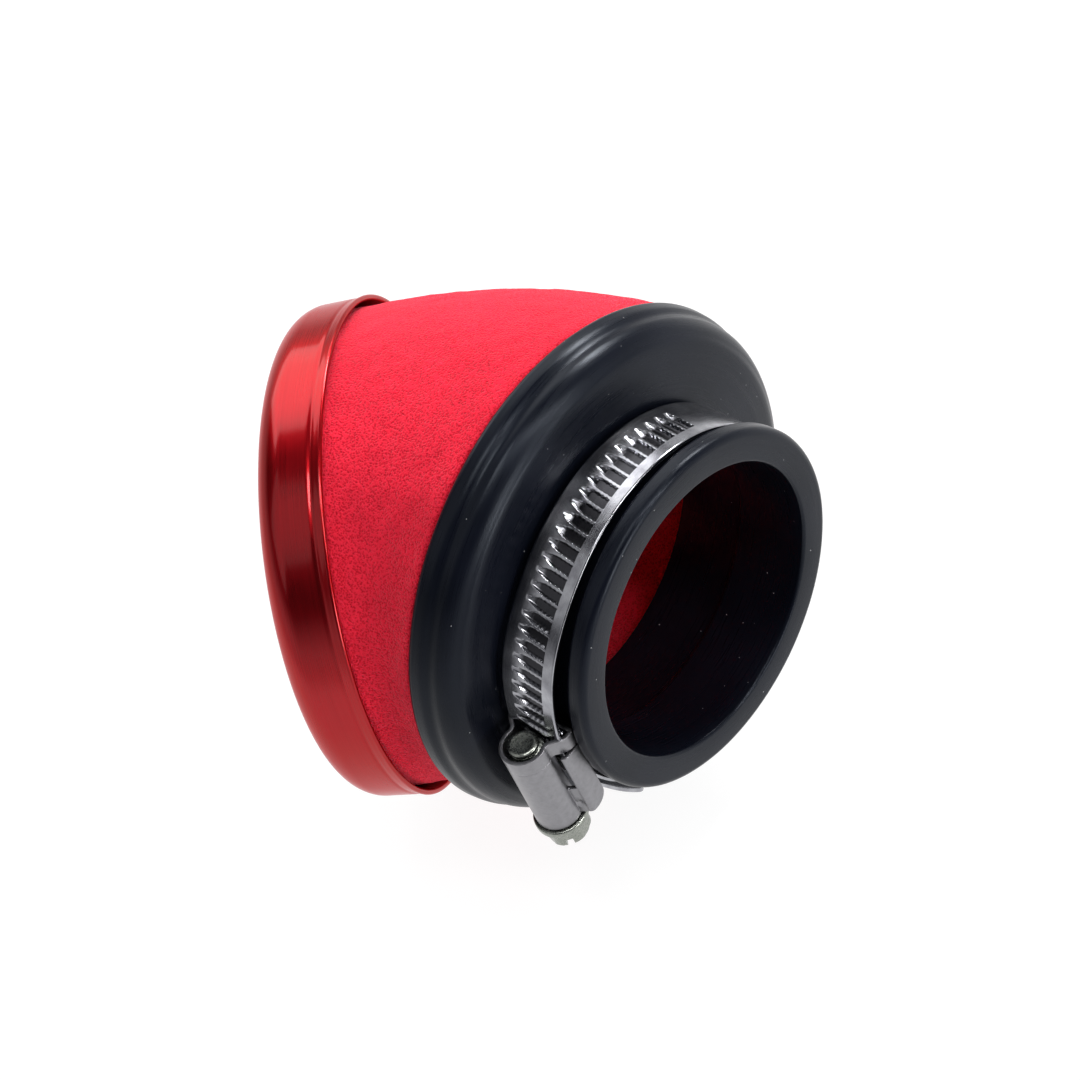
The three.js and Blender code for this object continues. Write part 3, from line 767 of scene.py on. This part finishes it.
def pocket_depth(u, degrees):
    """How far the thread's pressing lies below the strip's outside."""
    arc_length = math.radians(1) * (tail_outer - ENGAGEMENT / 2)
    turn = (degrees - 360) / pitch_angle + POCKET_LEAD - u * helix_slope / (arc_length * pitch_angle)
    nearest = np.round(turn)
    from_centre = np.abs(turn - nearest) * THREAD_PITCH
    present = (nearest <= last_pocket) & (nearest > last_pocket - POCKET_COUNT)
    along = (u + POCKET_HALF_SPAN) / (2 * POCKET_HALF_SPAN)
    half_width = POCKET_TIP_HALF + POCKET_FLARE * smooth_step(along, 0.0, POCKET_FLARE_END)
    sides = 1 - smooth_step(from_centre, half_width - 0.14, half_width + 0.1)
    neck_end = 1 - smooth_step(u, POCKET_HALF_SPAN - 0.12, POCKET_HALF_SPAN + 0.06)
    boot_end = np.clip((u + POCKET_HALF_SPAN) / POCKET_BOOT_RAMP, 0, 1)
    return POCKET_DEPTH * sides * neck_end * boot_end * present


def band_angles():
    """Steps round the strip, fine where the thread is pressed in and coarser elsewhere."""
    first = 360 + (last_pocket - POCKET_COUNT - 1) * pitch_angle
    last = 360 + (last_pocket + 1) * pitch_angle
    return np.concatenate([
        np.arange(ANCHOR_ANGLE, first, 1.2),
        np.arange(first, last, pitch_angle / 20),
        np.linspace(last, TAIL_ANGLE, 16)])


def strip_section(half_width, thickness, rounding, columns):
    """(u, height) round the strip's cross-section, with rounded edges."""
    across = np.linspace(-half_width + rounding, half_width - rounding, columns)
    top = np.stack([across, np.full(columns, thickness)], axis=1)
    right = arc((half_width - rounding, thickness - rounding), rounding, 90, 0, 4)
    right_low = arc((half_width - rounding, rounding), rounding, 0, -90, 4)
    bottom = np.stack([across[::-6], np.zeros(len(across[::-6]))], axis=1)
    left_low = arc((-half_width + rounding, rounding), rounding, 270, 180, 4)
    left = arc((-half_width + rounding, thickness - rounding), rounding, 180, 90, 4)[:-1]
    return joined(top, right, right_low, bottom, left_low, left)


def clamp_band():
    section = strip_section(band_width / 2, BAND_THICKNESS, EDGE_ROUND, 66)
    degrees = band_angles()[:, None]
    u = section[None, :, 0]
    height = section[None, :, 1]
    pressed = pocket_depth(u, degrees) * (height > BAND_THICKNESS - 0.01)
    ends = np.clip((degrees - ANCHOR_ANGLE) / TIP_ANGLE, 0, 1)
    ends = ends * np.clip((TAIL_ANGLE - degrees) / TIP_ANGLE, 0, 1)
    narrow = 1 - TIP_NARROWING + TIP_NARROWING * np.sqrt(1 - (1 - ends) ** 2)
    radius = band_radius(degrees) + height - pressed
    angles = np.radians(degrees)
    across = u * narrow + 0 * radius
    points = np.stack([across, radius * np.cos(angles), radius * np.sin(angles)], axis=2)
    marked = np.where(pressed > 0, -pressed, height)
    lay = np.stack([u + 0 * radius, marked, degrees * LAY_PER_DEGREE + 0 * radius], axis=2)
    return piece_from_grid("band_strip", points, lay, clamp_place, wrap_rows=False, sharp_over=38)


band = clamp_band()
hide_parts("clamp_band")
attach(band, "band")

# %% [markdown]
# Rolled stainless is bright, with faint lines along the strip and a bluish-grey cast. Fine
# scratches from the roller run the way the strip runs, so the noise is drawn out along it. The
# pockets are painted nearly black as shade. The stored lay is below zero where the thread is
# pressed in, and the deepest part of that range is painted dark as shade.

# %% Stainless strip
STEEL = (0.44, 0.445, 0.47)
STEEL_DARK = (0.25, 0.25, 0.275)
# Painted shade: the colour that fills the thread's pockets.
POCKET_SHADE = (0.045, 0.045, 0.05, 1)
POCKET_FLOOR = (-0.42, -0.25)

stainless, tree, shader = new_material("rolled_stainless", Metallic=1.0)
lay = add(tree, "Attribute", attribute_name="lay").outputs["Vector"]
drawn = add(tree, "Mapping", {"Vector": lay, "Scale": (9.0, 9.0, 0.25)}).outputs["Vector"]
lines = noise_of(tree, drawn, 1.0, detail=4.0, roughness=0.6)
smudges = noise_of(tree, place_of(tree), 0.35, detail=3.0)
tint = colours(tree, spread(tree, smudges, 0.3, 0.7, 0.0, 1.0), [(0, STEEL_DARK), (1, STEEL)])
depth = add(tree, "SeparateXYZ", {0: lay}).outputs["Y"]
# Painted shade: where the thread is pressed in deepest, the strip's colour turns to the pocket shade.
pressed_in = spread(tree, depth, POCKET_FLOOR[0], POCKET_FLOOR[1], 1.0, 0.0)
pocket_shaded = add(tree, "MixRGB", {"Fac": pressed_in, "Color1": tint, "Color2": POCKET_SHADE})
connect(tree, pocket_shaded.outputs[0], shader, "Base Color")
connect(tree, spread(tree, lines, 0.25, 0.75, 0.13, 0.26), shader, "Roughness")
connect(tree, bumps(tree, lines, 0.004), shader, "Normal")
paint(band, stainless)

# %% [markdown]
# The screw's housing is folded from one sheet: it wraps the worm as a barrel, steps out to a
# narrow plate beside the barrel, and folds down past both edges of the band. Sheet metal is best
# made as a surface first and given its thickness afterwards, because then every fold keeps the
# same thickness. At the back the sheet is slit, and the short piece behind the slit is pressed
# into an omega that guides the band in. Towards the neck's mouth a window is left open beside the
# barrel, and in front of it the sheet slopes from the barrel to the fold.

# %% Housing sheet
SHEET = 0.6
SIDE_ROOM = 0.15
BAND_ROOM = 0.3
BARREL_RADIUS = WORM_RADIUS + SIDE_ROOM + SHEET / 2
BARREL_BACK = -3.7
BARREL_FRONT = 13.6
PLATE_FRONT = 13.2
SLIT = -0.9
WINDOW = (-0.55, 7.2)
SIDE_WALL = band_width / 2 + SIDE_ROOM + SHEET / 2
PLATE_HEIGHT = tail_outer + BAND_ROOM + SHEET / 2
WALL_FOOT = BAND_INNER - BAND_ROOM - SHEET + 0.1
FOLD = 0.55
PLATE_LAP = -16
OMEGA_LEAVES = -18
FOOT_ROUND = 2.2
BACK_LIFT = 0.5
BACK_LIFT_LENGTH = 0.8
LANCE_PLACE = (10.9, 3.7)
LANCE_SIZE = (0.55, 0.45)
LANCE_DEPTH = 0.34
CREASE_PLACE = 3.2
CREASE_WIDTH = 0.22
CREASE_DEPTH = 0.12
CREASE_END = 12.6
WALL_LEAN = 0.12
DEBURR = 0.1
BRIDGE_ANGLES = (-8, 21)


def barrel_stretch(last_angle, steps):
    """The barrel from its top down to where the plate leaves it, as (u, v)."""
    return arc((0, screw_height), BARREL_RADIUS, 90, last_angle, steps)


def plate_stretch(steps):
    """The plate beside the barrel, up to the fold."""
    leave = math.degrees(math.asin((PLATE_HEIGHT - screw_height) / BARREL_RADIUS))
    start = BARREL_RADIUS * math.cos(math.radians(leave))
    u = np.linspace(start, SIDE_WALL - FOLD, steps + 1)
    ease = 0.35 * np.exp(-((u - start) / 0.5) ** 2) * np.sin(np.linspace(0, math.pi, steps + 1))
    return np.stack([u, PLATE_HEIGHT + ease], axis=1), leave


def wall_stretch(foot, lean, steps):
    """The fold and the side wall down to its foot. lean moves the foot outwards."""
    fold = arc((SIDE_WALL - FOLD, PLATE_HEIGHT - FOLD), FOLD, 90, 0, 5)
    v = np.linspace(PLATE_HEIGHT - FOLD, foot, steps + 1)[1:]
    u = SIDE_WALL + lean * (PLATE_HEIGHT - FOLD - v) / 3
    return np.vstack([fold, np.stack([u, v], axis=1)])


def on_barrel(degrees):
    """The barrel's (u, v) at an angle."""
    angle = math.radians(degrees)
    return BARREL_RADIUS * math.cos(angle), screw_height + BARREL_RADIUS * math.sin(angle)


def omega_stretch(steps):
    """The guide behind the slit: from the barrel it swings out and down to the band's edge."""
    return flowing([
        on_barrel(OMEGA_LEAVES),
        (3.25, 28.55), (4.1, 27.75), (4.75, 26.9), (4.95, 25.9), (4.98, WALL_FOOT)], steps)


class SheetBuilder:
    """Collects points and faces of the housing's middle surface. Within a patch, neighbouring rows share their
    points.
    """

    def __init__(self):
        self.mesh = bmesh.new()

    def patch(self, stretch_at, stations, mirrored):
        rows = []
        for w in stations:
            row = []
            for u, v in stretch_at(w):
                side = -1 if mirrored else 1
                row.append(self.mesh.verts.new(Vector((side * u, v, w)) * MM))
            rows.append(row)
        self.join(rows)

    def join(self, rows):
        for back, front in zip(rows, rows[1:]):
            for a, b, c, d in zip(back, back[1:], front[1:], front):
                self.mesh.faces.new((a, b, c, d))


def wall_foot(w):
    """The side wall's lower edge, rounded up at its front corner and a little at its back."""
    share = np.clip((w - (PLATE_FRONT - FOOT_ROUND)) / FOOT_ROUND, 0, 1)
    back = np.clip((SLIT + BACK_LIFT_LENGTH - w) / BACK_LIFT_LENGTH, 0, 1)
    return WALL_FOOT + FOOT_ROUND * (1 - math.sqrt(1 - share ** 2 * 0.98)) + BACK_LIFT * back ** 2


def front_plate(w, steps=12):
    """The sheet in front of the window, sloping from the barrel to the fold. A small lance is
    pressed into it, and a crease runs along the barrel."""
    start = on_barrel(PLATE_LAP)
    u = np.linspace(start[0], SIDE_WALL - FOLD, steps + 1)
    fall = np.linspace(0, 1, steps + 1) ** 0.8
    plate = np.stack([u, start[1] + (PLATE_HEIGHT - start[1]) * fall], axis=1)
    from_lance = ((w - LANCE_PLACE[0]) / LANCE_SIZE[0]) ** 2
    from_lance = from_lance + ((plate[:, 0] - LANCE_PLACE[1]) / LANCE_SIZE[1]) ** 2
    crease = CREASE_DEPTH * np.exp(-((plate[:, 0] - CREASE_PLACE) / CREASE_WIDTH) ** 2)
    plate[:, 1] -= LANCE_DEPTH * np.exp(-from_lance) + crease * (WINDOW[1] < w < CREASE_END)
    return plate


def housing_sheet():
    sheet = SheetBuilder()
    _, leave = plate_stretch(8)
    beside_window = np.linspace(SLIT, WINDOW[1], 24)
    front_rows = np.append(beside_window, np.linspace(WINDOW[1], PLATE_FRONT, 26)[1:])
    for mirrored in (False, True):
        back_rows = np.linspace(BARREL_BACK, SLIT, 9)
        sheet.patch(lambda w: barrel_stretch(OMEGA_LEAVES, 18), back_rows, mirrored)
        sheet.patch(lambda w: omega_stretch(4), back_rows, mirrored)
        sheet.patch(lambda w: barrel_stretch(leave, 20), front_rows, mirrored)
        nose = np.linspace(PLATE_FRONT, BARREL_FRONT, 3)
        sheet.patch(lambda w: barrel_stretch(leave, 20), nose, mirrored)
        wall_rows = np.append(WINDOW[0], front_rows[front_rows > WINDOW[0] + 0.1])
        sheet.patch(lambda w: wall_stretch(wall_foot(w), WALL_LEAN, 8), wall_rows, mirrored)
        if mirrored:
            sheet.patch(lambda w: plate_stretch(8)[0], wall_rows, mirrored)
        else:
            sheet.patch(front_plate, front_rows[front_rows >= WINDOW[1] - 1e-6], mirrored)
    reach = np.linspace(-SIDE_WALL, SIDE_WALL, 13)
    swing = np.radians(np.linspace(*BRIDGE_ANGLES, 14))
    curved = BAND_INNER - BAND_ROOM - SHEET / 2
    rows = [[sheet.mesh.verts.new(Vector((u, curved * math.cos(a), curved * math.sin(a))) * MM)
             for u in reach] for a in swing]
    sheet.join(rows)
    bmesh.ops.remove_doubles(sheet.mesh, verts=sheet.mesh.verts, dist=0.02 * MM)
    bmesh.ops.recalc_face_normals(sheet.mesh, faces=sheet.mesh.faces)
    mesh = bpy.data.meshes.new("housing_sheet")
    sheet.mesh.to_mesh(mesh)
    sheet.mesh.free()
    mesh.transform(clamp_place)
    mesh.shade_smooth()
    piece = bpy.data.objects.new("housing_sheet", mesh)
    bpy.context.scene.collection.objects.link(piece)
    thick = piece.modifiers.new("sheet_thickness", "SOLIDIFY")
    thick.thickness = SHEET * MM
    thick.offset = 0
    thick.use_even_offset = True
    soft = piece.modifiers.new("deburred_edges", "BEVEL")
    soft.width = DEBURR * MM
    soft.segments = 2
    soft.limit_method = "ANGLE"
    soft.angle_limit = math.radians(50)
    print("housing_sheet:", len(mesh.polygons), "faces before its thickness")
    return piece


housing = housing_sheet()
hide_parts("clamp_housing")
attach(housing, "housing")

# %% [markdown]
# The folded sheet is duller than the band: a satin grey from tumbling, with small marks and no
# clear grain. Two sizes of noise vary its roughness, and a faint relief breaks its reflections.

# %% Satin housing steel
housing_steel, tree, shader = new_material("satin_housing_steel", Metallic=1.0)
spot = place_of(tree)
marks = noise_of(tree, spot, 1.1, detail=5.0, roughness=0.65)
broad = noise_of(tree, spot, 0.25, detail=2.0)
tint = colours(tree, marks, [(0.3, (0.22, 0.217, 0.23)), (0.7, (0.28, 0.277, 0.292))])
connect(tree, tint, shader, "Base Color")
rough = add(tree, "Math", {0: spread(tree, marks, 0.3, 0.7, 0.3, 0.4),
                           1: spread(tree, broad, 0.3, 0.7, -0.04, 0.05)}, operation="ADD")
connect(tree, rough.outputs[0], shader, "Roughness")
connect(tree, bumps(tree, marks, 0.02), shader, "Normal")
paint(housing, housing_steel)

# %% [markdown]
# The worm screw is one turned part: a short spigot, the worm thread, a plain shank, a washer
# face and a hexagon with a slot for a screwdriver. Its radius depends on the place along the
# screw and on the angle round it, so one grid can hold the helix and the hexagon alike. The slot
# is cut by a boolean, since it crosses the grid. Hexagon and slot are turned by the same angle.

# %% Worm screw
THREAD_DEPTH = 0.75
WORM_BACK = -3.2
WORM_FRONT = 7.6
SPIGOT_RADIUS = 2.2
SPIGOT_LENGTH = 0.8
SHANK_RADIUS = 2.6
FLANGE_RADIUS = 4.0
FLANGE_THICKNESS = 1.3
HEX_ACROSS_FLATS = 6.2
HEX_HEIGHT = 3.4
SLOT_WIDTH = 1.1
SLOT_DEPTH = 1.5
FLANGE_BACK_ROUND = 0.3
FLANGE_FRONT_ROUND = 0.35
CREST_END = 0.12
ROOT_START = 0.28
CORNER_TRIM = 0.28
CHAMFER_LENGTH = 0.55
CHAMFER_SLOPE = 0.9
HEAD_TURN = 45
SCREW_COLUMNS = 120

flange_start = BARREL_FRONT + 0.3
hex_start = flange_start + FLANGE_THICKNESS
screw_end = hex_start + HEX_HEIGHT


def thread_radius(w, turn):
    """A right-hand worm: flat crests, sloping flanks and flat roots."""
    phase = w / THREAD_PITCH - turn
    from_crest = np.abs(phase - np.round(phase))
    height = smooth_step(ROOT_START - from_crest, 0.0, ROOT_START - CREST_END)
    return WORM_RADIUS - THREAD_DEPTH * (1 - height)


def hex_radius(turn, across_flats):
    """A hexagon in polar form."""
    from_flat = ((turn - HEAD_TURN / 360) * 6 + 0.5) % 1 - 0.5
    return across_flats / 2 / np.cos(from_flat * math.pi / 3)


def screw_rows(turn):
    """(place along the screw, radius at every angle) from the spigot's face to the head's end."""
    even = np.ones_like(turn)
    start = WORM_BACK - SPIGOT_LENGTH
    rows = [(start + 0.12, 0 * even), (start + 0.1, 0.9 * even), (start + 0.04, 1.55 * even),
            (start, 1.75 * even), (start + 0.06, 1.98 * even), (start + 0.22, SPIGOT_RADIUS * even)]
    rows += [(WORM_BACK - 0.1, SPIGOT_RADIUS * even), (WORM_BACK, 2.05 * even)]
    for w in np.linspace(WORM_BACK + 0.05, WORM_FRONT, 150):
        fade = smooth_step(w, WORM_BACK, WORM_BACK + 0.5)
        rows.append((w, SPIGOT_RADIUS * (1 - fade) + thread_radius(w, turn) * fade))
    rows += [(WORM_FRONT + 0.15, SHANK_RADIUS * even), (flange_start, SHANK_RADIUS * even)]
    rows += [(flange_start, 3.3 * even)]
    back_edge = arc((flange_start + FLANGE_BACK_ROUND, FLANGE_RADIUS - FLANGE_BACK_ROUND),
                    FLANGE_BACK_ROUND, 180, 90, 4)
    front_edge = arc((hex_start - FLANGE_FRONT_ROUND, FLANGE_RADIUS - FLANGE_FRONT_ROUND),
                     FLANGE_FRONT_ROUND, 90, 0, 5)
    rows += [(w, radius * even) for w, radius in [*back_edge, *front_edge]]
    hexagon = hex_radius(turn, HEX_ACROSS_FLATS)
    rows += [(hex_start, hexagon + 0.12), (hex_start + 0.12, hexagon)]
    for w in np.linspace(hex_start + 0.5, screw_end, 14):
        chamfer = CHAMFER_SLOPE * max(0, w - (screw_end - CHAMFER_LENGTH))
        trimmed = HEX_ACROSS_FLATS / 2 + CORNER_TRIM - chamfer
        rows.append((w, np.minimum(hexagon, trimmed + 0 * turn)))
    rows += [(screw_end, 2.2 * even), (screw_end, 0 * even)]
    return rows


def worm_screw():
    turn = np.linspace(0, 1, SCREW_COLUMNS, endpoint=False)
    rows = screw_rows(turn)
    w = np.array([row[0] for row in rows])[:, None] + 0 * turn
    radius = np.array([row[1] for row in rows])
    angles = turn * 2 * math.pi
    points = np.stack([radius * np.cos(angles), screw_height + radius * np.sin(angles), w], axis=2)
    lay = np.stack([np.cos(angles) + 0 * w, np.sin(angles) + 0 * w, w], axis=2)
    piece = piece_from_grid(
        "slotted_worm_screw", points, lay, clamp_place, wrap_rows=False, sharp_over=30)
    cutter_mesh = bpy.data.meshes.new("slot_cutter")
    cutter = bmesh.new()
    size = Matrix.Diagonal((3 * FLANGE_RADIUS * MM, SLOT_WIDTH * MM, 2 * SLOT_DEPTH * MM, 1))
    middle = Matrix.Translation(Vector((0, screw_height, screw_end)) * MM)
    turned = Matrix.Rotation(math.radians(HEAD_TURN), 4, "Z")
    bmesh.ops.create_cube(cutter, size=1, matrix=clamp_place @ middle @ turned @ size)
    cutter.to_mesh(cutter_mesh)
    cutter.free()
    cutter_piece = bpy.data.objects.new("slot_cutter", cutter_mesh)
    bpy.context.scene.collection.objects.link(cutter_piece)
    cut = piece.modifiers.new("screwdriver_slot", "BOOLEAN")
    cut.object = cutter_piece
    cut.operation = "DIFFERENCE"
    cut.solver = "EXACT"
    bpy.context.view_layer.update()
    depsgraph = bpy.context.evaluated_depsgraph_get()
    finished = bpy.data.meshes.new_from_object(piece.evaluated_get(depsgraph))
    piece.modifiers.clear()
    piece.data = finished
    finished.set_sharp_from_angle(angle=math.radians(30))
    bpy.data.objects.remove(cutter_piece)
    print("slotted_worm_screw after its slot:", len(finished.polygons), "faces")
    return piece


screw = worm_screw()
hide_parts("worm_screw")
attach(screw, "screw")

# %% [markdown]
# The screw is zinc plated. Passivated zinc has a pale, slightly green and speckled shine. A fine
# noise varies its colour, its roughness and its relief.

# %% Zinc plate
ZINC = [(0.3, (0.2, 0.215, 0.193)), (0.55, (0.29, 0.302, 0.272)), (0.75, (0.4, 0.41, 0.37))]

zinc, tree, shader = new_material("zinc_plate", Metallic=1.0)
spot = place_of(tree)
speckle = noise_of(tree, spot, 3.2, detail=4.0, roughness=0.7)
tint = colours(tree, speckle, ZINC)
connect(tree, tint, shader, "Base Color")
connect(tree, spread(tree, speckle, 0.3, 0.7, 0.2, 0.36), shader, "Roughness")
connect(tree, bumps(tree, speckle, 0.008), shader, "Normal")
paint(screw, zinc)

# %% [markdown]
# The board under the filter is matt card, lit from inside. By itself it is dark grey and reflects
# little, so shadows on it stay faint, and its glow makes it look white. A faint tooth varies it.

# %% White card
TOOTH_COLOUR = (0.14, 0.14, 0.14)

card, tree, shader = new_material("white_card", Roughness=0.9, Specular_IOR_Level=0.1)
tooth = noise_of(tree, place_of(tree), 0.02, detail=2.0)
dim = colours(tree, tooth, [(0.0, FLOOR_COLOUR), (1.0, TOOTH_COLOUR)])
connect(tree, dim, shader, "Base Color")
shader.inputs["Emission Color"].default_value = (1, 1, 1, 1)
from_middle = add(tree, "VectorMath", {0: add(tree, "TexCoord").outputs["Object"]}, operation="LENGTH")
glow = spread(tree, from_middle.outputs["Value"], *GLOW_FADE, FLOOR_GLOW, FAR_GLOW)
connect(tree, glow, shader, "Emission Strength")
paint(floor, card)
